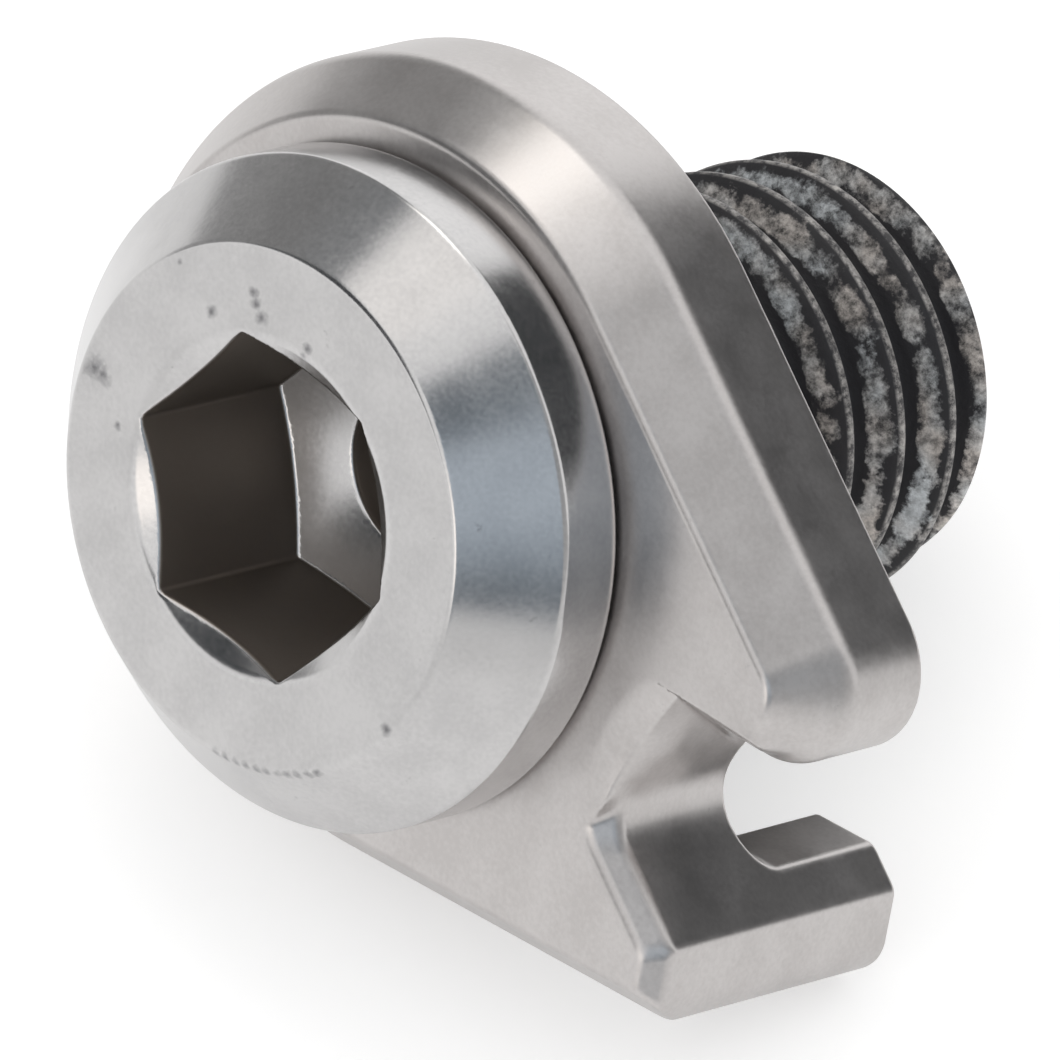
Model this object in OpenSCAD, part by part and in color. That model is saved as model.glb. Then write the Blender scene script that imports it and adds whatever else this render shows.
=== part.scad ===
// Cable clamp bolt: a hex socket bolt that carries a teardrop clamp plate under its head.
// The pair lies at rest on the plate's round end, the heel of its prong and the thread tip.
// Sizes are in millimetres. The origin is on the bolt axis, where the full thread starts.

/* [Bolt] */
// Diameter over the thread crests
thread_d = 6; // [5:0.1:7]
// Length under the head
bolt_len = 9.5; // [8:0.1:14]
// Diameter of the plain neck inside the plate
neck_d = 5.4; // [5:0.1:5.8]
// Chamfer round the thread tip
tip_chamfer = 0.8; // [0.2:0.05:1]

/* [Head] */
// Diameter over the rim
head_d = 9; // [8:0.1:10]
// Height from seat to front face
head_h = 2.1; // [1.8:0.05:3]
// Height of the straight rim
rim_h = 1.05; // [0.6:0.05:1.4]
// Diameter of the flat front face
face_d = 7; // [6:0.1:7.8]
// Edge break under the rim
rim_break = 0.12; // [0.05:0.01:0.3]

/* [Socket] */
// Width across the socket flats
hex_af = 4; // [3:0.5:4.5]
// Depth of the flats
socket_depth = 2.7; // [2:0.1:3.2]
// Turn of the socket about the bolt axis
hex_turn = 3.3; // [0:0.1:60]
// Full angle of the lead-in cone
lead_angle = 120; // [90:5:140]
// Diameter of the pilot hole in the socket floor
pilot_d = 1.9; // [1:0.1:2.5]
// Depth of the pilot hole under the floor
pilot_depth = 0.5; // [0.2:0.1:1.2]

/* [Plate] */
// Thickness of the plate
plate_t = 2.3; // [1.8:0.05:3]
// Radius of the round end
plate_r = 5.5; // [5:0.05:6.5]
// Angle between the two straight flanks
flank_angle = 42; // [34:1:48]
// Width of the front bevel along the outline
bevel_w = 0.65; // [0.3:0.05:0.9]
// Height of the front bevel along the outline
bevel_h = 0.95; // [0.5:0.05:1.3]
// Length of the lower flank from its tangent point
tail_len = 6.23; // [5.6:0.01:7.5]
// Radius at the foot of the tail
tail_round = 0.6; // [0.2:0.05:0.8]

/* [Lobe] */
// Radius of the lobe end
lobe_r = 1.15; // [0.8:0.05:1.4]
// Length of the straight flank above the lobe
lobe_len = 5.1; // [4.6:0.05:5.6]

/* [Cable notch] */
// Distance of the notch's inner wall from the bolt axis
notch_x = 1.08; // [0.8:0.02:1.4]
// Distance of the notch's end wall from the bolt axis
notch_end = 5.15; // [4.8:0.05:5.5]
// Radius in the notch corner
notch_round = 0.6; // [0.3:0.05:0.9]
// Chamfer along the inner wall and the foot
edge_chamfer = 0.3; // [0.1:0.05:0.5]
// Radius of the slanting cable lead
lead_r = 1; // [0.6:0.05:1.2]
// Slant of the cable lead from the bolt axis
lead_slant = 23; // [10:1:35]
// Direction in which the cable lead leans
lead_turn = 46; // [20:1:70]

/* [Prong] */
// Reach of the prong behind the plate
prong_len = 2.3; // [1:0.05:4]
// Width of the prong along the lower flank
prong_w = 1.57; // [1.2:0.01:2.2]
// Thickness of the prong in from the lower flank
prong_t = 1.8; // [1.3:0.05:2.2]
// Radius where the prong leaves the plate
prong_round = 0.5; // [0.2:0.05:0.8]

/* [Clearances] */
// Radial play of the thread in the plate's hole
bore_gap = 0.15; // [0.05:0.01:0.4]
// Play between the head's seat and the plate
seat_gap = 0.03; // [0.01:0.01:0.1]
// Distance from the plate's rear face to the full thread
thread_gap = 0.1; // [0.05:0.01:0.3]

/* [Hidden] */
$fn = 96;
steel = [0.72, 0.71, 0.70];
reach = 20;
thread_r = thread_d / 2;
rear = thread_gap;
front = rear + plate_t;
seat = front + seat_gap;
face = seat + head_h;
thread_len = bolt_len - seat - tip_chamfer;
run_out = min(thread_r - neck_d / 2, seat / 2);
hex_r = hex_af / sqrt(3);
lead_depth = (hex_r - hex_af / 2) / tan(lead_angle / 2);
lobe_x = plate_r - lobe_r;
corner_x = notch_x + notch_round;
corner_y = -notch_end - notch_round;

// Outward normal of the lower flank, and the way along it towards the foot
flank_at = flank_angle - 180;
across = [cos(flank_at), sin(flank_at)];
along = [-across.y, across.x];
function plan(t, s) = t * along + s * across;
function wall_s(t) = (notch_x - t * along.x) / across.x;
function wall_t(s) = (notch_x - s * across.x) / along.x;
prong_t0 = tail_len - prong_w;
prong_s0 = plate_r - prong_t;

foot = plan(tail_len - tail_round, plate_r - tail_round);

// Lying pose: the way down that meets the round end, the thread tip and the heel of the prong
lay_tilt = atan((plate_r - thread_r) / (thread_len + rear));
heel = plan(prong_t0, plate_r);
heel_drop = plate_r - prong_len * tan(lay_tilt);
lay_turn = atan2(heel.y, heel.x) - acos(heel_drop / norm(heel));

// Turns a piece from the bolt's own axis into the lying pose
module lay() {
    rotate([90 - lay_tilt, 0, 0])
        rotate([0, 0, -90 - lay_turn])
            children();
}

// Turned outline of the bolt, from the tip to the front face
module bolt_blank() {
    rotate_extrude()
        polygon([
            [0, -thread_len - tip_chamfer],
            [thread_r - tip_chamfer, -thread_len - tip_chamfer],
            [thread_r, -thread_len],
            [thread_r, 0],
            [neck_d / 2, run_out],
            [neck_d / 2, seat],
            [head_d / 2 - rim_break, seat],
            [head_d / 2, seat + rim_break],
            [head_d / 2, seat + rim_h],
            [face_d / 2, face],
            [0, face]
        ]);
}

// Broached hex socket with its lead-in cone and pilot hole
module socket() {
    rotate([0, 0, hex_turn])
        translate([0, 0, face - socket_depth])
            cylinder(r = hex_r, h = socket_depth + 1, $fn = 6);
    translate([0, 0, face - lead_depth])
        cylinder(r1 = hex_af / 2, r2 = hex_r, h = lead_depth);
    translate([0, 0, face - socket_depth - pilot_depth])
        cylinder(d = pilot_d, h = pilot_depth + 0.5);
    translate([0, 0, face - socket_depth - pilot_depth - pilot_d / 4])
        cylinder(r1 = 0, r2 = pilot_d / 2, h = pilot_d / 4);
}

module clamp_bolt() {
    color(steel)
        lay()
            difference() {
                bolt_blank();
                socket();
            }
}

// Round end of any radius with the front bevel
module bevelled_disc(r) {
    translate([0, 0, rear])
        cylinder(r = r, h = plate_t - bevel_h);
    translate([0, 0, front - bevel_h])
        cylinder(r1 = r, r2 = r - bevel_w, h = bevel_h);
}

// Cutter that bevels the front edge of a straight wall at a distance along X, from a Y value down
module edge_cutter(at, w, h, top) {
    translate([0, top, 0])
        rotate([90, 0, 0])
            linear_extrude(top + reach)
                polygon([
                    [at - 1.5 * w, front + 0.5 * h],
                    [at + 0.5 * w, front - 1.5 * h],
                    [at + 0.5 * w, front + 0.5 * h]
                ]);
}

// Tail between the two flanks, down to the foot
module tail() {
    difference() {
        translate([0, 0, rear])
            linear_extrude(plate_t)
                polygon([
                    [0, 0],
                    plan(0, plate_r),
                    plan(tail_len, plate_r),
                    plan(tail_len, wall_s(tail_len)),
                    [notch_x, corner_y],
                    [corner_x, corner_y],
                    [corner_x, -notch_end],
                    [lobe_x, -notch_end],
                    [lobe_x, -lobe_len],
                    [plate_r, -lobe_len],
                    [plate_r, 0]
                ]);
        edge_cutter(plate_r, bevel_w, bevel_h, reach);
        rotate([0, 0, flank_at])
            edge_cutter(plate_r, bevel_w, bevel_h, reach);
        rotate([0, 0, flank_at + 90])
            edge_cutter(tail_len, edge_chamfer, edge_chamfer, -prong_s0);
    }
}

// Prong behind the foot, with the hollow round where it leaves the plate
module prong() {
    translate([0, 0, rear - prong_len])
        linear_extrude(prong_len + (plate_t - bevel_h) / 2)
            polygon([
                plan(prong_t0, plate_r),
                plan(tail_len, plate_r),
                plan(tail_len, wall_s(tail_len)),
                plan(wall_t(prong_s0), prong_s0),
                plan(prong_t0, prong_s0)
            ]);
    difference() {
        translate([0, 0, rear - prong_round])
            linear_extrude(prong_round + (plate_t - bevel_h) / 2)
                polygon([
                    plan(prong_t0, prong_s0),
                    plan(wall_t(prong_s0), prong_s0),
                    plan(wall_t(prong_s0 - prong_round), prong_s0 - prong_round),
                    plan(prong_t0, prong_s0 - prong_round)
                ]);
        rotate([0, 0, flank_at])
            translate([prong_s0 - prong_round, 0, rear - prong_round])
                rotate([90, 0, 0])
                    cylinder(r = prong_round, h = 4 * reach, center = true);
    }
}

// Rounds the outer corner at the foot of the tail
module foot_cutter() {
    translate([0, 0, -reach])
        difference() {
            rotate([0, 0, flank_at])
                translate([plate_r - tail_round, tail_len - tail_round, 0])
                    cube([1, 1, 2 * reach]);
            translate([foot.x, foot.y, -1])
                cylinder(r = tail_round, h = 2 * reach + 2);
        }
}

// Rounded notch corner, its chamfers and the slanting cable lead
module notch_cutter() {
    translate([corner_x, corner_y, rear - 1])
        cylinder(r = notch_round, h = plate_t + 2);
    translate([corner_x, corner_y, front - edge_chamfer])
        cylinder(r1 = notch_round, r2 = notch_round + 2 * edge_chamfer, h = 2 * edge_chamfer);
    edge_cutter(notch_x, edge_chamfer, edge_chamfer, corner_y);
    translate([notch_x + lead_r, -notch_end - lead_r, rear])
        rotate([0, lead_slant, lead_turn])
            cylinder(r = lead_r, h = 2 * plate_t);
}

module clamp_plate() {
    color(steel)
        lay()
            difference() {
                union() {
                    bevelled_disc(plate_r);
                    tail();
                    translate([lobe_x, -lobe_len, 0])
                        bevelled_disc(lobe_r);
                    prong();
                }
                foot_cutter();
                notch_cutter();
                translate([0, 0, rear - 1])
                    cylinder(d = thread_d + 2 * bore_gap, h = plate_t + 2);
            }
}

clamp_bolt();
clamp_plate();
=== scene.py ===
import math

import bpy
import numpy as np
from mathutils import Matrix, Vector


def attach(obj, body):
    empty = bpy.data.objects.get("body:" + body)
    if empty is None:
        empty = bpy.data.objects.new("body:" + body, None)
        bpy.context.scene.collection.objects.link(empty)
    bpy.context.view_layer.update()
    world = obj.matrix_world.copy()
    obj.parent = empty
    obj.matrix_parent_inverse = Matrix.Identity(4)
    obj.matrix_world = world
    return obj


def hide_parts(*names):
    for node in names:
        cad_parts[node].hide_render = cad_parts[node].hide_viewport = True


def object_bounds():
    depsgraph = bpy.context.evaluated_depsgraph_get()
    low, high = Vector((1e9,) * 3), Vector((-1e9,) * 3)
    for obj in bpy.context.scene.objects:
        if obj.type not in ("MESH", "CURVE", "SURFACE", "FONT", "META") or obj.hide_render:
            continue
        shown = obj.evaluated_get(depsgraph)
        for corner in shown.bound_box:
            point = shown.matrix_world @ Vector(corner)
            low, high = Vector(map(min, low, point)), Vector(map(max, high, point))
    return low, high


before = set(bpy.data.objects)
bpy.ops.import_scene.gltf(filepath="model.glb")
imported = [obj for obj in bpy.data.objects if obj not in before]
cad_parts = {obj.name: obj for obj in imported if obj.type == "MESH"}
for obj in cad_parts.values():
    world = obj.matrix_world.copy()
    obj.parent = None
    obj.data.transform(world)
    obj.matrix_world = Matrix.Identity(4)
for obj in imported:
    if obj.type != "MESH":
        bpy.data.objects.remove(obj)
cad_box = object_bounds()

# Cable clamp bolt. Shapes are worked out in millimetres on the bolt's own axis: Z runs out of the
# head, the plate's right flank runs along Y, and Z is zero where the full thread starts.
MM = 0.001

# Bolt
THREAD_R, BOLT_LEN, NECK_R, TIP_CHAMFER = 3.0, 9.5, 2.7, 0.8
PITCH, THREAD_DEPTH, CREST_ROUND, ROOT_ROUND = 1.0, 0.6, 0.07, 0.2
CREST_Z, CREST_AT = -4.55, -15.7          # one point of the crest line: height, and angle in degrees
RUNOUT_Z, RUNOUT_SLOPE, RUNOUT_ROUND, RUNOUT_END = 0.1, 1.2, 0.1, 0.2
SHANK_TOP, SHANK_PLAY = 0.55, 0.002       # the thread's mesh ends inside the neck, and stands this far out of it
TIP_ROUND, TIP_STEP = 0.12, 0.03
TIP_RINGS, CAP_RINGS = (2.1, 1.4, 0.7, 0.01), (1.5, 0.01)
HEAD_R, HEAD_H, RIM_H, FACE_R, RIM_BREAK = 4.5, 2.1, 1.05, 3.5, 0.12
HEX_AF, SOCKET_DEPTH, HEX_TURN, LEAD_ANGLE = 4.0, 2.7, 3.3, 120.0
PILOT_R, PILOT_DEPTH, FLOOR_SLOPE = 1.15, 0.5, 18.0
POINT_RISE, POINT_RUN, PILOT_OVERLAP = 0.447, 0.894, 0.5    # slope of the pilot's drill point

# Plate
PLATE_T, PLATE_R, FLANK_ANGLE = 2.3, 5.5, 42.0
BEVEL_W, BEVEL_H = 0.65, 0.95
TAIL_LEN, TAIL_ROUND = 6.23, 0.6
LOBE_R, LOBE_LEN = 1.15, 5.1
NOTCH_X, NOTCH_ROUND, EDGE_CHAMFER = 1.08, 0.6, 0.3
NOTCH_END, NOTCH_RISE, CREASE_TURN, CREASE_SLANT = 5.15, 16.5, -52.0, 33.0
FOLD_X, FOLD_Y, FOLD_R, FOLD_SLOPE = 2.78, -6.21, 1.43, 48.0
PRONG_LEN, PRONG_W, PRONG_T, PRONG_ROUND, PRONG_HEEL = 2.3, 1.57, 1.8, 0.5, 0.15
FOOT_S = 3.2                              # the foot's end face stays beyond this distance from the axis
STRIP_TOP = 5.38                          # where the chamfer of the notch's inner wall ends
CREASE_X, CREASE_Y = 3.38, -4.76          # the notch's upper edge is a soft fold up to here, then a crisp crease
BORE_PLAY, SEAT_GAP = 0.15, 0.03
BORE_R = THREAD_R + BORE_PLAY
REAR = 0.1
FRONT = REAR + PLATE_T
SEAT = FRONT + SEAT_GAP
FACE = SEAT + HEAD_H
THREAD_LEN = BOLT_LEN - SEAT - TIP_CHAMFER
TIP = -THREAD_LEN - TIP_CHAMFER
LOBE_X = PLATE_R - LOBE_R
FLANK_AT = math.radians(FLANK_ANGLE - 180)
ACROSS = np.array([math.cos(FLANK_AT), math.sin(FLANK_AT)])
ALONG = np.array([-ACROSS[1], ACROSS[0]])

# Widths over which edges are rounded
EDGE, HEAD_EDGE, SOCKET_EDGE, FOLD = 0.08, 0.04, 0.05, 0.4

# Lying pose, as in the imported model
TILT = math.atan((PLATE_R - THREAD_R) / (THREAD_LEN + REAR))
HEEL = (TAIL_LEN - PRONG_W) * ALONG + PLATE_R * ACROSS
HEEL_DROP = PLATE_R - PRONG_LEN * math.tan(TILT)
TURN = math.atan2(HEEL[1], HEEL[0]) - math.acos(HEEL_DROP / math.hypot(*HEEL))
LAY = np.array(Matrix.Rotation(math.pi / 2 - TILT, 3, "X") @ Matrix.Rotation(-math.pi / 2 - TURN, 3, "Z"))


def smax(a, b, k):
    """Larger of two distances, with the edge between them rounded over a width k."""
    h = np.maximum(k - np.abs(a - b), 0)
    return np.maximum(a, b) + h * h / (4 * k)


def smin(a, b, k):
    """Smaller of two distances, rounded in the same way."""
    return -smax(-a, -b, k)


def ease(t):
    """Smooth step from 0 to 1."""
    t = np.clip(t, 0, 1)
    return t * t * (3 - 2 * t)


def bevelled(wall, z, fade=0):
    """Plate slab inside a wall distance, with the wide front bevel and soft edges."""
    slope = ((wall + BEVEL_W) * BEVEL_H + (z - FRONT) * BEVEL_W) / math.hypot(BEVEL_H, BEVEL_W) - fade
    return smax(smax(smax(wall, slope, EDGE), z - FRONT, EDGE), REAR - z, EDGE)


def leaving(side, z, r):
    """Wall of the prong that turns outwards into the plate's rear face over a radius."""
    return np.maximum(r - np.hypot(np.maximum(side + r, 0), np.maximum(z - REAR + r, 0)), -side - r)


def plate_field(x, y, z):
    """Distance to the clamp plate, negative inside."""
    s = x * ACROSS[0] + y * ACROSS[1]
    t = x * ALONG[0] + y * ALONG[1]
    rho = np.hypot(x, y)
    in_tail = (y <= 0) & (t >= 0)
    wall = np.where(in_tail, np.maximum(x, s), rho) - PLATE_R
    # Foot of the tail: the end face meets the lower flank in a round
    u, v = s - PLATE_R + TAIL_ROUND, t - TAIL_LEN + TAIL_ROUND
    foot = np.hypot(np.maximum(u, 0), np.maximum(v, 0)) + np.minimum(np.maximum(u, v), 0) - TAIL_ROUND
    past = s - FOOT_S
    body = bevelled(wall, z)
    body = smax(body, np.minimum(foot, past), EDGE)
    body = smax(body, np.minimum((t - TAIL_LEN + z - FRONT + EDGE_CHAMFER) / math.sqrt(2), past), EDGE)
    # Cable notch, open to the right and below; the lobe stands in it
    rise, crease = math.radians(NOTCH_RISE), math.radians(CREASE_TURN)
    upper = (y - CREASE_Y) * math.cos(rise) - (x - CREASE_X) * math.sin(rise)
    notch = smax(NOTCH_X - x, upper, NOTCH_ROUND)
    body = smax(body, -smax(notch, y + NOTCH_END, EDGE), EDGE)
    wall = np.hypot(x - LOBE_X, y + LOBE_LEN) - LOBE_R
    bevel_fade = EDGE_CHAMFER * ease((LOBE_X - x) * 2 / LOBE_R) * ease((-wall - EDGE_CHAMFER / 2) / EDGE_CHAMFER)
    body = np.minimum(body, bevelled(wall, z, bevel_fade))
    # Prong behind the foot, with hollow rounds where it leaves the plate
    prong = smax(s - PLATE_R, foot, EDGE)
    prong = smax(prong, leaving(t - TAIL_LEN + PRONG_W, z, PRONG_HEEL), EDGE)
    prong = smax(prong, leaving(s - PLATE_R + PRONG_T, z, PRONG_ROUND), EDGE)
    prong = smax(prong, x - NOTCH_X, EDGE)
    prong = smax(prong, REAR - PRONG_LEN - z, EDGE)
    body = np.minimum(body, np.maximum(prong, z - REAR - PLATE_T / 3))
    # The notch's upper wall folds softly into the front, and leaves a crease in the lobe
    right = (y - CREASE_Y) * math.cos(crease) - (x - CREASE_X) * math.sin(crease)
    right = right + (FRONT - z) * math.tan(math.radians(CREASE_SLANT))
    hollow = smax(notch, right, EDGE)
    body = smax(body, -hollow, EDGE / 2)
    strip = np.minimum((z - FRONT + EDGE_CHAMFER - notch) / math.sqrt(2), NOTCH_X + NOTCH_ROUND - x)
    body = smax(body, smin(strip, -y - STRIP_TOP, 2 * EDGE), EDGE)
    slope = math.radians(FOLD_SLOPE)
    fold = (FOLD_R - np.hypot(x - FOLD_X, y - FOLD_Y)) * math.sin(slope) + (z - FRONT) * math.cos(slope)
    body = np.minimum(smax(body, fold, FOLD), np.maximum(body, -right))
    return smax(body, BORE_R - rho, EDGE)


def head_field(x, y, z):
    """Distance to the head, its socket and the neck, negative inside."""
    rho = np.hypot(x, y)
    cone_r, cone_h = HEAD_R - FACE_R, HEAD_H - RIM_H
    cone = ((rho - HEAD_R) * cone_h + (z - SEAT - RIM_H) * cone_r) / math.hypot(cone_r, cone_h)
    head = smax(smax(rho - HEAD_R, cone, HEAD_EDGE), z - FACE, HEAD_EDGE)
    head = smax(head, SEAT - z, 2 * RIM_BREAK)
    neck = np.maximum(np.maximum(rho - NECK_R, z - SEAT - RIM_H), -z)
    head = smin(head, neck, EDGE)
    hexagon = None
    for i in range(3):
        a = math.radians(HEX_TURN + 30 + 60 * i)
        flat = np.abs(x * math.cos(a) + y * math.sin(a)) - HEX_AF / 2
        hexagon = flat if hexagon is None else smax(hexagon, flat, SOCKET_EDGE)
    half = math.radians(LEAD_ANGLE / 2)
    hex_r = HEX_AF / math.sqrt(3)
    lead = (rho - hex_r) * math.cos(half) + (FACE - z) * math.sin(half)
    slope = math.radians(FLOOR_SLOPE)
    floor = FACE - SOCKET_DEPTH - (HEX_AF / 2 - PILOT_R) * math.tan(slope)
    cup = (floor - z) * math.cos(slope) + (rho - PILOT_R) * math.sin(slope)
    socket = smax(hexagon, cup, SOCKET_EDGE)
    point = (rho - PILOT_R) * POINT_RISE + (floor - PILOT_DEPTH - z) * POINT_RUN
    pilot = smax(np.maximum(rho - PILOT_R, z - floor - PILOT_OVERLAP), point, SOCKET_EDGE)
    socket = smin(socket, pilot, SOCKET_EDGE)
    socket = smin(socket, lead, SOCKET_EDGE)
    return smax(head, -socket, SOCKET_EDGE)


def slopes(field, p, e=0.004):
    """Gradient of a distance field at points."""
    g = np.empty_like(p)
    for i in range(3):
        d = np.zeros(3)
        d[i] = e
        g[:, i] = (field(*(p + d).T) - field(*(p - d).T)) / (2 * e)
    return g


def settle(field, p, rounds=3):
    """Moves points onto the surface of a distance field."""
    for _ in range(rounds):
        g = slopes(field, p)
        p = p - g * (field(*p.T) / np.maximum((g * g).sum(1), 0.1))[:, None]
    return p


def surface_net(field, low, high, step):
    """Quad mesh on the zero surface of a distance field."""
    low, high = np.array(low), np.array(high)
    n = np.ceil((high - low) / step).astype(int) + 1
    xs, ys, zs = (low[i] + step * np.arange(n[i]) for i in range(3))
    d = np.empty(n, np.float32)
    for i in range(n[0]):
        d[i] = field(np.full((1, 1), xs[i]), ys[:, None], zs[None, :])
    inside = d < 0
    corners = np.array([(i, j, k) for i in (0, 1) for j in (0, 1) for k in (0, 1)])
    count = np.zeros(n - 1, np.uint8)
    for i, j, k in corners:
        count += inside[i:n[0] - 1 + i, j:n[1] - 1 + j, k:n[2] - 1 + k]
    cells = np.argwhere((count > 0) & (count < 8))
    number = np.full(n - 1, -1, np.int32)
    number[tuple(cells.T)] = np.arange(len(cells))
    total, hits = np.zeros((len(cells), 3)), np.zeros(len(cells))
    for a in corners:
        for b in corners:
            if (b - a).sum() == 1 and (b - a).min() == 0:
                da, db = d[tuple((cells + a).T)], d[tuple((cells + b).T)]
                cut = (da < 0) != (db < 0)
                part = np.where(cut, da / np.where(cut, da - db, 1), 0)
                total += np.where(cut[:, None], a + part[:, None] * (b - a), 0)
                hits += cut
    points = low + step * (cells + total / hits[:, None])
    quads = []
    for axis in range(3):
        u, v = np.eye(3, dtype=int)[(axis + 1) % 3], np.eye(3, dtype=int)[(axis + 2) % 3]
        first = np.take(inside, range(n[axis] - 1), axis)
        second = np.take(inside, range(1, n[axis]), axis)
        e = np.argwhere(first != second)
        ring = np.stack([number[tuple((e - u - v).T)], number[tuple((e - v).T)],
                         number[tuple(e.T)], number[tuple((e - u).T)]], 1)
        ring[~first[tuple(e.T)]] = ring[~first[tuple(e.T)]][:, ::-1]
        quads.append(ring)
    return points, np.concatenate(quads)


def make_mesh(name, points, faces):
    """Mesh of points in the bolt's own frame, laid down and in metres."""
    mesh = bpy.data.meshes.new(name)
    mesh.from_pydata((points @ LAY.T * MM).tolist(), [], faces.tolist())
    return mesh


def carve(name, field, low, high, step, keep):
    """Mesh of a distance field, thinned where it is flat, with the field's own normals."""
    points, quads = surface_net(field, low, high, step)
    mesh = make_mesh(name, settle(field, points), quads)
    piece = bpy.data.objects.new(name, mesh)
    bpy.context.collection.objects.link(piece)
    thin = piece.modifiers.new("thin", "DECIMATE")
    thin.ratio = min(1.0, keep / (2 * len(quads)))
    thin.use_collapse_triangulate = True
    bpy.context.view_layer.update()
    done = bpy.data.meshes.new_from_object(piece.evaluated_get(bpy.context.evaluated_depsgraph_get()))
    bpy.data.objects.remove(piece)
    bpy.data.meshes.remove(mesh)
    flat = np.empty(3 * len(done.vertices))
    done.vertices.foreach_get("co", flat)
    points = settle(field, flat.reshape(-1, 3) / MM @ LAY)
    tris = np.empty(3 * len(done.polygons), np.int32)
    done.polygons.foreach_get("vertices", tris)
    bpy.data.meshes.remove(done)
    normals = slopes(field, points, 0.01)
    normals /= np.linalg.norm(normals, axis=1)[:, None]
    return points, tris.reshape(-1, 3), normals


def thread_shape(columns=180, rows=24):
    """Right-hand thread as a helical grid, with its run-out, tip chamfer and end face."""
    start = CREST_Z - PITCH * math.ceil((CREST_Z - TIP) / PITCH + 1)
    turns = math.ceil((SHANK_TOP - start) / PITCH + 1)
    angle = math.radians(CREST_AT) + np.arange(columns) * 2 * math.pi / columns
    w = np.arange(turns * rows + 1) / rows * PITCH
    z = start + w[:, None] + (PITCH * np.arange(columns) / columns)[None, :]
    half = np.abs((w / PITCH + 0.5) % 1 - 0.5) * PITCH
    flank = (half - PITCH / 16) * math.sqrt(3)
    drop = smin(smax(flank, 0, CREST_ROUND), THREAD_DEPTH, ROOT_ROUND)
    r = THREAD_R - np.repeat(drop[:, None], columns, 1)
    r = smax(r, NECK_R + (z - RUNOUT_Z) * RUNOUT_SLOPE, RUNOUT_ROUND)
    r = smin(r, THREAD_R - z, RUNOUT_ROUND)
    r = np.where(z > RUNOUT_END, NECK_R + SHANK_PLAY, r)
    r = smin(r, THREAD_R + (z + THREAD_LEN), TIP_ROUND)
    r = np.where(z <= TIP, THREAD_R - TIP_CHAMFER - TIP_STEP, r)
    z = np.clip(z, TIP, SHANK_TOP)
    around = np.stack([np.cos(angle), np.sin(angle)], -1)
    points = [np.concatenate([r[..., None] * around, z[..., None]], -1).reshape(-1, 3)]
    grid = np.arange(len(w) * columns).reshape(len(w), columns)
    quads = []
    for j in range(columns):
        # The last column joins the first one a whole pitch further on
        shift = rows if j == columns - 1 else 0
        a, b = grid[:len(w) - shift, j], grid[shift:, (j + 1) % columns]
        quads.append(np.stack([a[:-1], b[:-1], b[1:], a[1:]], 1))
    # End face at the tip and a hidden cap inside the neck
    for edge, height, radii in ((grid[0], TIP, TIP_RINGS), (grid[-1], SHANK_TOP, CAP_RINGS)):
        for radius in radii:
            ring = sum(len(p) for p in points) + np.arange(columns)
            points.append(np.column_stack([radius * around, np.full(columns, height)]))
            face = np.stack([edge, ring, np.roll(ring, -1), np.roll(edge, -1)], 1)
            quads.append(face if height == TIP else face[:, ::-1])
            edge = ring
    points, quads = np.concatenate(points), np.concatenate(quads)
    # Rows that fall together at the two ends become one
    _, first, same = np.unique(np.round(points, 5), axis=0, return_index=True, return_inverse=True)
    quads = same.reshape(-1)[quads]
    points = points[first]
    tris = np.concatenate([quads[:, [0, 1, 2]], quads[:, [0, 2, 3]]])
    tris = tris[(tris[:, 0] != tris[:, 1]) & (tris[:, 1] != tris[:, 2]) & (tris[:, 2] != tris[:, 0])]
    cross = np.cross(points[tris[:, 1]] - points[tris[:, 0]], points[tris[:, 2]] - points[tris[:, 0]])
    sound = (cross ** 2).sum(1) > 1e-14
    tris, cross = tris[sound], cross[sound]
    normals = np.zeros_like(points)
    for i in range(3):
        np.add.at(normals, tris[:, i], cross)
    return points, tris, normals / np.maximum(np.linalg.norm(normals, axis=1), 1e-12)[:, None]


def finish_piece(name, body, node, shapes, materials):
    """One object from shapes of points, faces and normals, a material for each, riding on a body."""
    shift, points, faces, normals, which = 0, [], [], [], []
    for i, (p, f, n) in enumerate(shapes):
        points.append(p)
        faces.append(f + shift)
        normals.append(n)
        which.append(np.full(len(f), i))
        shift += len(p)
    mesh = make_mesh(name, np.concatenate(points), np.concatenate(faces))
    for material in materials:
        mesh.materials.append(material)
    mesh.polygons.foreach_set("material_index", np.concatenate(which).astype(np.int32))
    mesh.polygons.foreach_set("use_smooth", np.ones(len(mesh.polygons), bool))
    mesh.update()
    mesh.normals_split_custom_set_from_vertices((np.concatenate(normals) @ LAY.T).tolist())
    piece = bpy.data.objects.new(name, mesh)
    bpy.context.collection.objects.link(piece)
    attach(piece, body)
    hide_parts(node)


def nodes_of(holder):
    """Empty node tree of a material or world, and a function that adds a node with its links and values."""
    holder.use_nodes = True
    tree = holder.node_tree
    tree.nodes.clear()

    def add(kind, link=None, **values):
        node = tree.nodes.new(kind)
        for key, value in values.items():
            if key.startswith("in_"):
                node.inputs[key[3:].replace("_", " ")].default_value = value
            else:
                setattr(node, key, value)
        for socket, source in (link or {}).items():
            tree.links.new(source, node.inputs[socket])
        return node
    return tree, add


AXIS = LAY @ np.array([0.0, 0.0, 1.0])
GRAIN_SCALE, MOTTLE_SCALE, SPECK_SCALE = 14000.0, 1300.0, 2600.0
SPECK_COLOUR, NICK_COLOUR = (0.10, 0.10, 0.10, 1), (0.09, 0.09, 0.10, 1)
NICK_RAGGED, NICK_DEPTH, SOCKET_MATT = 0.8, 0.75, 0.3
SOCKET_SHADE_R, SOCKET_SHADE_R_IN = 2.37, 2.32        # the painted shade on the socket's walls starts and is full at these distances from the axis
LIGHTER_SIDE_AT = math.radians(-72)
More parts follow.
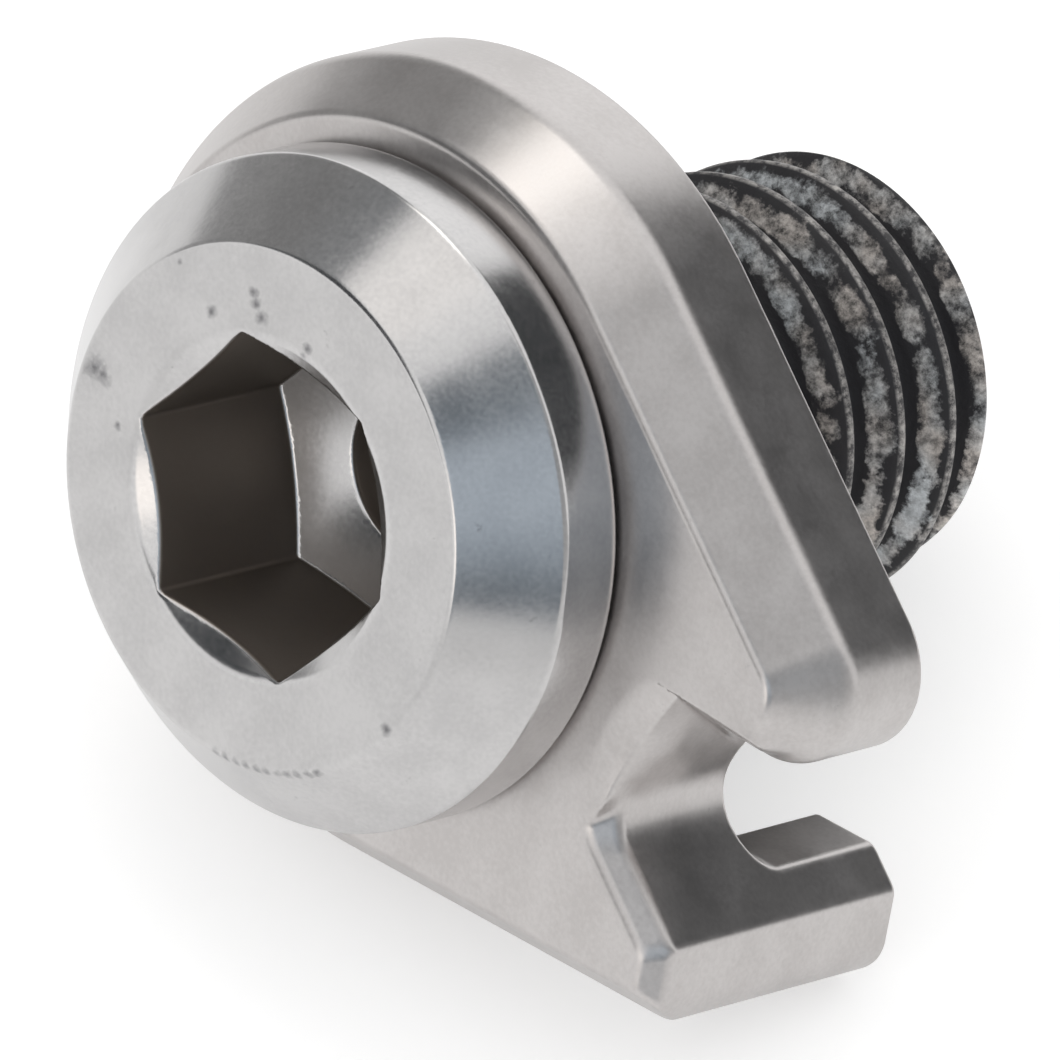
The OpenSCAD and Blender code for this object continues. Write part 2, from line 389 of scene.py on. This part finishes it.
# Dark nicks on the head's face: distance from the axis, angle, reach
NICKS = ((3.30, 120, 0.52), (3.12, 120, 0.36), (2.86, 57, 0.22), (2.70, 56, 0.22), (2.54, 54, 0.30), (2.62, 74, 0.24),
         (2.42, 34, 0.20), (2.28, 35, 0.18), (3.36, 80, 0.14), (2.64, 130, 0.18), (3.44, -83, 0.22)) + tuple(
             (3.55, angle, 0.24) for angle in range(-138, -106, 3))


def off_axis(add, place):
    """Vector from the bolt's axis to a place, and its length."""
    along = add("ShaderNodeVectorMath", {0: place}, operation="DOT_PRODUCT")
    along.inputs[1].default_value = AXIS
    spine = add("ShaderNodeVectorMath", {"Scale": along.outputs["Value"]}, operation="SCALE")
    spine.inputs[0].default_value = AXIS
    out = add("ShaderNodeVectorMath", {0: place, 1: spine.outputs[0]}, operation="SUBTRACT").outputs[0]
    return out, add("ShaderNodeVectorMath", {0: out}, operation="LENGTH").outputs["Value"]


def steel(name, light, dark, rough_low, rough_high, grain, spots, socket=None):
    """Tumbled steel: fine grain, faint mottling, dark specks and, in the head, nicks and painted shade on the socket
    walls.
    """
    material = bpy.data.materials.new(name)
    tree, add = nodes_of(material)
    place = add("ShaderNodeTexCoord").outputs["Object"]
    fine = add("ShaderNodeTexNoise", {"Vector": place}, in_Scale=GRAIN_SCALE, in_Detail=3.0)
    broad = add("ShaderNodeTexNoise", {"Vector": place}, in_Scale=MOTTLE_SCALE, in_Detail=4.0)
    both = add("ShaderNodeMix", {2: fine.outputs["Fac"], 3: broad.outputs["Fac"]}, data_type="FLOAT")
    both.inputs[0].default_value = 0.55
    tint = add("ShaderNodeValToRGB", {"Fac": both.outputs[0]})
    tint.color_ramp.elements[0].position, tint.color_ramp.elements[1].position = 0.38, 0.62
    tint.color_ramp.elements[0].color, tint.color_ramp.elements[1].color = (*dark, 1), (*light, 1)
    specks = add("ShaderNodeTexNoise", {"Vector": place}, in_Scale=SPECK_SCALE, in_Detail=6.0, in_Roughness=0.7)
    speck = add("ShaderNodeMapRange", {"Value": specks.outputs["Fac"]}, in_From_Min=0.66, in_From_Max=0.76,
                in_To_Min=0.0, in_To_Max=spots)
    colour = add("ShaderNodeMix", {0: speck.outputs[0], 6: tint.outputs["Color"]}, data_type="RGBA")
    colour.inputs[7].default_value = SPECK_COLOUR
    if socket:
        ragged = add("ShaderNodeMath", {0: specks.outputs["Fac"]}, operation="SUBTRACT")
        ragged.inputs[1].default_value = 0.5
        marks = None
        for r, angle, size in NICKS:
            gap = add("ShaderNodeVectorMath", {0: place}, operation="DISTANCE")
            at = math.radians(angle)
            gap.inputs[1].default_value = LAY @ np.array([r * math.cos(at), r * math.sin(at), FACE]) * MM
            near = add("ShaderNodeMapRange", {"Value": gap.outputs["Value"]}, in_From_Min=0.0, in_From_Max=size * MM,
                       in_To_Min=0.5, in_To_Max=-0.1, clamp=False)
            marks = near.outputs[0] if marks is None else add(
                "ShaderNodeMath", {0: marks, 1: near.outputs[0]}, operation="MAXIMUM").outputs[0]
        torn = add("ShaderNodeMath", {0: ragged.outputs[0], 2: marks}, operation="MULTIPLY_ADD")
        torn.inputs[1].default_value = NICK_RAGGED
        nick = add("ShaderNodeMapRange", {"Value": torn.outputs[0]}, in_From_Min=0.22, in_From_Max=0.5,
                   in_To_Min=0.0, in_To_Max=NICK_DEPTH)
        nicked = add("ShaderNodeMix", {6: colour.outputs[2], 0: nick.outputs[0]}, data_type="RGBA")
        nicked.inputs[7].default_value = NICK_COLOUR
        colour = nicked
        # Painted shade: inside the socket, faces that lean away from the axis take the dark socket colour and are made
        # rougher
        inside = add("ShaderNodeMapRange", {"Value": off_axis(add, place)[1]},
                     in_From_Min=SOCKET_SHADE_R * MM, in_From_Max=SOCKET_SHADE_R_IN * MM)
        normal = add("ShaderNodeNewGeometry").outputs["Normal"]
        lean = add("ShaderNodeVectorMath", {0: normal}, operation="DOT_PRODUCT")
        lean.inputs[1].default_value = AXIS
        wall = add("ShaderNodeMapRange", {"Value": lean.outputs["Value"]}, in_From_Min=0.75, in_From_Max=0.4)
        wall_shade = add("ShaderNodeMath", {0: inside.outputs[0], 1: wall.outputs[0]}, operation="MULTIPLY")
        socket_shade = add("ShaderNodeMix", {6: colour.outputs[2], 0: wall_shade.outputs[0]}, data_type="RGBA")
        socket_shade.inputs[7].default_value = (*socket, 1)
        colour, matt = socket_shade, wall_shade.outputs[0]
    rough = add("ShaderNodeMapRange", {"Value": both.outputs[0]}, in_From_Min=0.32, in_From_Max=0.68,
                in_To_Min=rough_low, in_To_Max=rough_high)
    bump = add("ShaderNodeBump", {"Height": both.outputs[0]}, in_Strength=grain, in_Distance=0.00001)
    shader = add("ShaderNodeBsdfPrincipled", {"Base Color": colour.outputs[2],
                 "Roughness": rough.outputs[0], "Normal": bump.outputs[0]}, in_Metallic=1.0)
    if socket:
        rougher = add("ShaderNodeMath", {0: matt, 2: rough.outputs[0]}, operation="MULTIPLY_ADD")
        rougher.inputs[1].default_value = SOCKET_MATT
        tree.links.new(rougher.outputs[0], shader.inputs["Roughness"])
    add("ShaderNodeOutputMaterial", {"Surface": shader.outputs[0]})
    return material


def worn_thread(name):
    """Blackened thread: black roots, scuffed grey patches up the flanks, bright crest lines."""
    material = bpy.data.materials.new(name)
    _, add = nodes_of(material)
    place = add("ShaderNodeTexCoord").outputs["Object"]
    out, radius = off_axis(add, place)
    # The grey patches are lighter towards one side of the thread
    lower = add("ShaderNodeVectorMath", {0: add("ShaderNodeVectorMath", {0: out}, operation="NORMALIZE").outputs[0]},
                operation="DOT_PRODUCT")
    lower.inputs[1].default_value = LAY @ np.array([math.cos(LIGHTER_SIDE_AT), math.sin(LIGHTER_SIDE_AT), 0.0])
    low = add("ShaderNodeMapRange", {"Value": lower.outputs["Value"]}, in_From_Min=0.80, in_From_Max=1.0)
    patch = add("ShaderNodeTexNoise", {"Vector": place}, in_Scale=1900.0, in_Detail=9.0, in_Roughness=0.68)
    fine = add("ShaderNodeTexNoise", {"Vector": place}, in_Scale=6500.0, in_Detail=5.0, in_Roughness=0.75)
    depth = add("ShaderNodeMapRange", {"Value": radius}, in_From_Min=0.0024, in_From_Max=0.0030)
    height = add("ShaderNodeValToRGB", {"Fac": depth.outputs[0]})
    height.color_ramp.elements[0].position, height.color_ramp.elements[1].position = 0.12, 0.98
    height.color_ramp.elements[0].color, height.color_ramp.elements[1].color = (0, 0, 0, 1), (0.38, 0.38, 0.38, 1)
    for spot, level in ((0.34, 0.48), (0.50, 0.58), (0.72, 0.56), (0.88, 0.42)):
        height.color_ramp.elements.new(spot).color = (level, level, level, 1)
    lift = add("ShaderNodeMath", {0: patch.outputs["Fac"], 1: height.outputs["Color"]}, operation="ADD")
    scuff = add("ShaderNodeMapRange", {"Value": lift.outputs[0]}, in_From_Min=0.97, in_From_Max=1.07)
    tint = add("ShaderNodeTexNoise", {"Vector": place}, in_Scale=1100.0, in_Detail=2.0)
    hue = add("ShaderNodeValToRGB", {"Fac": tint.outputs["Fac"]})
    hue.color_ramp.elements[0].position, hue.color_ramp.elements[1].position = 0.38, 0.62
    hue.color_ramp.elements[0].color = (0.32, 0.295, 0.275, 1)
    hue.color_ramp.elements[1].color = (0.30, 0.315, 0.325, 1)
    tone = add("ShaderNodeMapRange", {"Value": fine.outputs["Fac"]}, in_From_Min=0.36, in_From_Max=0.66,
               in_To_Min=0.15, in_To_Max=1.7)
    lively = add("ShaderNodeMath", {0: low.outputs[0], 2: tone.outputs[0]}, operation="MULTIPLY_ADD")
    lively.inputs[1].default_value = 1.1
    grey = add("ShaderNodeVectorMath", {0: hue.outputs["Color"], "Scale": lively.outputs[0]}, operation="SCALE")
    skin = add("ShaderNodeMix", {0: scuff.outputs[0], 7: grey.outputs[0]}, data_type="RGBA")
    skin.inputs[6].default_value = (0.016, 0.015, 0.018, 1)
    edge = add("ShaderNodeMapRange", {"Value": radius}, in_From_Min=0.002968, in_From_Max=0.002994)
    worn = add("ShaderNodeMapRange", {"Value": fine.outputs["Fac"]}, in_From_Min=0.42, in_From_Max=0.66,
               in_To_Min=0.05, in_To_Max=1.0)
    line = add("ShaderNodeMath", {0: edge.outputs[0], 1: worn.outputs[0]}, operation="MULTIPLY")
    colour = add("ShaderNodeMix", {0: line.outputs[0], 6: skin.outputs[2]}, data_type="RGBA")
    colour.inputs[7].default_value = (0.52, 0.50, 0.48, 1)
    rough = add("ShaderNodeMapRange", {"Value": fine.outputs["Fac"]}, in_To_Min=0.3, in_To_Max=0.6)
    bump = add("ShaderNodeBump", {"Height": lift.outputs[0]}, in_Strength=0.5, in_Distance=0.00005)
    shader = add("ShaderNodeBsdfPrincipled", {"Base Color": colour.outputs[2], "Metallic": line.outputs[0],
                 "Roughness": rough.outputs[0], "Normal": bump.outputs[0]})
    add("ShaderNodeOutputMaterial", {"Surface": shader.outputs[0]})
    return material


STEP = 0.045
PLATE_TRIS, HEAD_TRIS = 180000, 110000
plate_shape = carve("plate", plate_field, (-5.8, -9.2, -2.5), (5.8, 5.8, 2.7), STEP, PLATE_TRIS)
head_shape = carve("head", head_field, (-4.8, -4.8, -0.3), (4.8, 4.8, 4.8), STEP, HEAD_TRIS)

# The last colour is painted shade for the socket's walls
head_steel = steel("head_steel", (0.655, 0.645, 0.643), (0.575, 0.566, 0.566), 0.17, 0.24, 0.10, 0.5,
                   (0.29, 0.255, 0.225))
plate_steel = steel("plate_steel", (0.64, 0.615, 0.605), (0.56, 0.535, 0.525), 0.28, 0.36, 0.12, 0.25)
thread_black = worn_thread("thread_black")

finish_piece("clamp_bolt_dressed", "bolt", "clamp_bolt",
             [head_shape, thread_shape()], [head_steel, thread_black])
finish_piece("clamp_plate_dressed", "plate", "clamp_plate", [plate_shape], [plate_steel])

# Camera: angles in degrees round the aim, millimetres
VIEW_AT, VIEW_UP, VIEW_ROLL = 47.026, 44.820, -1.476
AIM, DISTANCE, LENS = (0.842, -0.181, -0.744), 262.563, 679.245
at, up, roll = (math.radians(v) for v in (VIEW_AT, VIEW_UP, VIEW_ROLL))
back = Vector((math.sin(at) * math.cos(up), -math.cos(at) * math.cos(up), math.sin(up)))
level = Vector((math.cos(at), math.sin(at), 0))
rise = back.cross(level)
over = math.cos(roll) * rise + math.sin(roll) * level
side = over.cross(back)
camera = bpy.data.objects.new("camera", bpy.data.cameras.new("camera"))
camera.data.lens = LENS
camera.data.sensor_width = 36.0
camera.data.clip_start, camera.data.clip_end = 0.01, 10.0
pose = Matrix((side, over, back)).transposed().to_4x4()
pose.translation = (Vector(AIM) + DISTANCE * back) * MM
camera.matrix_world = pose
bpy.context.collection.objects.link(camera)
bpy.context.scene.camera = camera

# Pale floor under the resting part, and a white world. In the metal the floor is brightest near the part
# and a little brighter to the left.
FLOOR_Z = cad_box[0][2]
FLOOR_COLOUR, FLOOR_GLOW = (0.76, 0.76, 0.76, 1), 0.4
SHINE_NEAR, SHINE_FAR, SHINE_FROM, SHINE_TO = 0.25, 0.03, 0.008, 0.03
LEFT_WAY, LEFT_REACH, LEFT_DARK, LEFT_BRIGHT = (-0.94, 0.34, 0.0), 0.012, -0.03, 0.09
floor_mesh = bpy.data.meshes.new("floor")
floor_mesh.from_pydata([(x, y, FLOOR_Z) for x, y in ((-1, -1), (1, -1), (1, 1), (-1, 1))], [], [(0, 1, 2, 3)])
floor = bpy.data.objects.new("floor", floor_mesh)
bpy.context.collection.objects.link(floor)
floor_paint = bpy.data.materials.new("floor_paint")
_, add = nodes_of(floor_paint)
path = add("ShaderNodeLightPath")
where = add("ShaderNodeNewGeometry").outputs["Position"]
spot = add("ShaderNodeVectorMath", {0: where}, operation="LENGTH")
shine = add("ShaderNodeMapRange", {"Value": spot.outputs["Value"]}, in_From_Min=SHINE_FROM, in_From_Max=SHINE_TO,
            in_To_Min=SHINE_NEAR, in_To_Max=SHINE_FAR)
leftward = add("ShaderNodeVectorMath", {0: where}, operation="DOT_PRODUCT")
leftward.inputs[1].default_value = LEFT_WAY
tilted = add("ShaderNodeMapRange", {"Value": leftward.outputs["Value"]}, in_From_Min=-LEFT_REACH,
             in_From_Max=LEFT_REACH, in_To_Min=LEFT_DARK, in_To_Max=LEFT_BRIGHT)
shine = add("ShaderNodeMath", {0: shine.outputs[0], 1: tilted.outputs[0]}, operation="ADD")
mirrored = add("ShaderNodeMath", {0: path.outputs["Is Glossy Ray"], 1: path.outputs["Is Transmission Ray"]},
               operation="MAXIMUM")
shown = add("ShaderNodeMath", {0: mirrored.outputs[0], 1: shine.outputs[0]}, operation="MULTIPLY")
glow = add("ShaderNodeMath", {0: path.outputs["Is Camera Ray"], 2: shown.outputs[0]}, operation="MULTIPLY_ADD")
glow.inputs[1].default_value = FLOOR_GLOW
paint = add("ShaderNodeAddShader", {0: add("ShaderNodeBsdfDiffuse", in_Color=FLOOR_COLOUR).outputs[0],
            1: add("ShaderNodeEmission", {"Strength": glow.outputs[0]}).outputs[0]})
add("ShaderNodeOutputMaterial", {"Surface": paint.outputs[0]})
floor_mesh.materials.append(floor_paint)

world = bpy.data.worlds.new("studio")
bpy.context.scene.world = world
_, add = nodes_of(world)
sky = add("ShaderNodeBackground", in_Color=(1, 1, 1, 1), in_Strength=1.0)
add("ShaderNodeOutputWorld", {"Surface": sky.outputs[0]})


def toward(azimuth, elevation):
    """Unit way for an azimuth and elevation in degrees, as the camera's are."""
    a, e = math.radians(azimuth), math.radians(elevation)
    return Vector((math.sin(a) * math.cos(e), -math.cos(a) * math.cos(e), math.sin(e)))


def lamp(name, azimuth, elevation, distance, size, power, tint):
    """Square lamp that faces the part."""
    light = bpy.data.lights.new(name, "AREA")
    light.size, light.energy, light.color = size, power, tint
    thing = bpy.data.objects.new(name, light)
    way = toward(azimuth, elevation)
    thing.location = way * distance
    thing.rotation_euler = way.to_track_quat("Z", "Y").to_euler()
    bpy.context.collection.objects.link(thing)


def card(name, left, right, tones, distance=0.5):
    """Studio card that only shows in the metal, between two azimuths; tones go up by elevation."""
    mesh = bpy.data.meshes.new(name)
    low, high = min(tones), max(tones)
    across, rising = 12, 12
    points, faces = [], []
    for i in range(across + 1):
        for j in range(rising + 1):
            points.append(toward(left + (right - left) * i / across, low + (high - low) * j / rising) * distance)
    for i in range(across):
        for j in range(rising):
            at = i * (rising + 1) + j
            faces.append((at, at + 1, at + rising + 2, at + rising + 1))
    mesh.from_pydata(points, [], faces)
    paint = bpy.data.materials.new(name)
    _, add = nodes_of(paint)
    place = add("ShaderNodeSeparateXYZ", {0: add("ShaderNodeTexCoord").outputs["Generated"]})
    ramp = add("ShaderNodeValToRGB", {"Fac": place.outputs["Z"]})
    bottom, top = math.sin(math.radians(low)), math.sin(math.radians(high))
    for i, (elevation, tone) in enumerate(sorted(tones.items())):
        spot = (math.sin(math.radians(elevation)) - bottom) / (top - bottom)
        stop = ramp.color_ramp.elements[i] if i < 2 else ramp.color_ramp.elements.new(spot)
        stop.position, stop.color = spot, (*tone, 1)
    shining = add("ShaderNodeEmission", {"Color": ramp.outputs["Color"]})
    add("ShaderNodeOutputMaterial", {"Surface": shining.outputs[0]})
    mesh.materials.append(paint)
    thing = bpy.data.objects.new(name, mesh)
    bpy.context.collection.objects.link(thing)
    thing.visible_camera = thing.visible_diffuse = thing.visible_transmission = False
    thing.visible_shadow = thing.visible_volume_scatter = False


def grey(level, blue=0.0):
    """Grey of a level, leaning to blue or, below zero, to red."""
    return (level * (1 - blue), level, level * (1 + blue))


lamp("key", 250, 68, 0.4, 0.14, 0.085, (1.0, 0.97, 0.91))
card("card_top", 272, 350, {60: grey(1.1, -0.02), 86: grey(1.1, -0.02)})
card("card_window", 192, 236, {-1: grey(1.12), 36: grey(1.12)})
card("card_far", 136, 189, {-1: grey(0.08, 0.05), 6: grey(0.058, 0.05), 42: grey(0.058, 0.05)})
card("card_left", 236, 304, {-0.5: grey(0.45), 8: grey(0.33), 36: grey(0.25), 58: grey(0.25, 0.05)})
card("card_front", 28, 64, {-1: grey(0.18, 0.14), 9: grey(0.26, 0.14), 18: grey(0.45, 0.14), 30: grey(0.62, 0.12),
                            46: grey(0.58, 0.12), 54: grey(0.22, 0.14), 69: grey(0.20, 0.14)})
card("card_right", 64, 114, {-1: grey(0.60), 14: grey(0.46), 40: grey(0.38, 0.03), 60: grey(0.40, 0.03),
                             72: grey(0.56), 82: grey(0.9)})
card("card_lead", 304, 350, {14: grey(0.08, 0.06), 52: grey(0.08, 0.06)})
card("card_glint", 8, 27, {6: grey(1.6, -0.05), 26: grey(1.6, -0.05)})

bpy.context.scene.view_settings.view_transform = "Standard"
